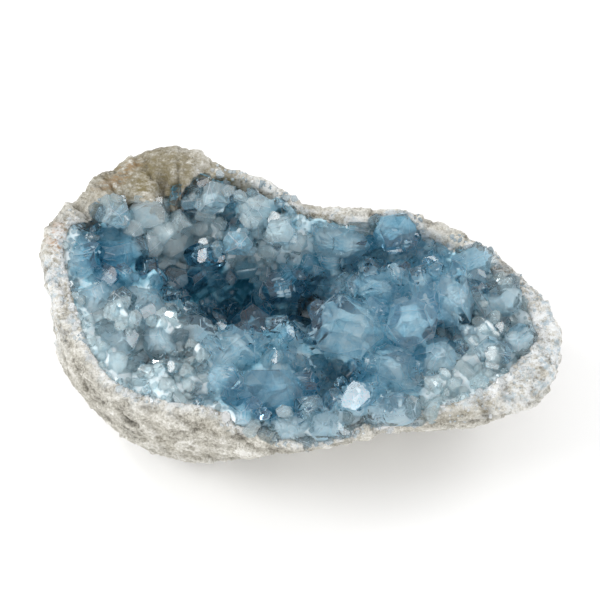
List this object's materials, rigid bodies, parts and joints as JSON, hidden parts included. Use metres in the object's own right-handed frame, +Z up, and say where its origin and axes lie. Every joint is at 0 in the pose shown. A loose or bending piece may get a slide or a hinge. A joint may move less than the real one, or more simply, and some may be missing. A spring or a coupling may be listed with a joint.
{
  "type": "celestite crystal cluster",
  "caption": "Natural celestite geode half lying on its back: a rough pale rock rind lined with a crust of blocky see-through blue crystals round a deep hollow.",
  "frame": {"origin": "middle of the bounding box in plan, on the surface that the geode rests on", "axes": "+X along the length towards the narrower end, +Y away from the low front edge, +Z up out of the open side"},
  "size_m": [0.2303, 0.1406, 0.0834],
  "materials": {
    "rock": "rough granular pale limestone with rusty stains",
    "celestite": "see-through sky-blue crystal with glassy faces, milky in places"
  },
  "bodies": {
    "root": {"rock_rind": "rock", "celestite_crust": "celestite"}
  },
  "joints": []
}
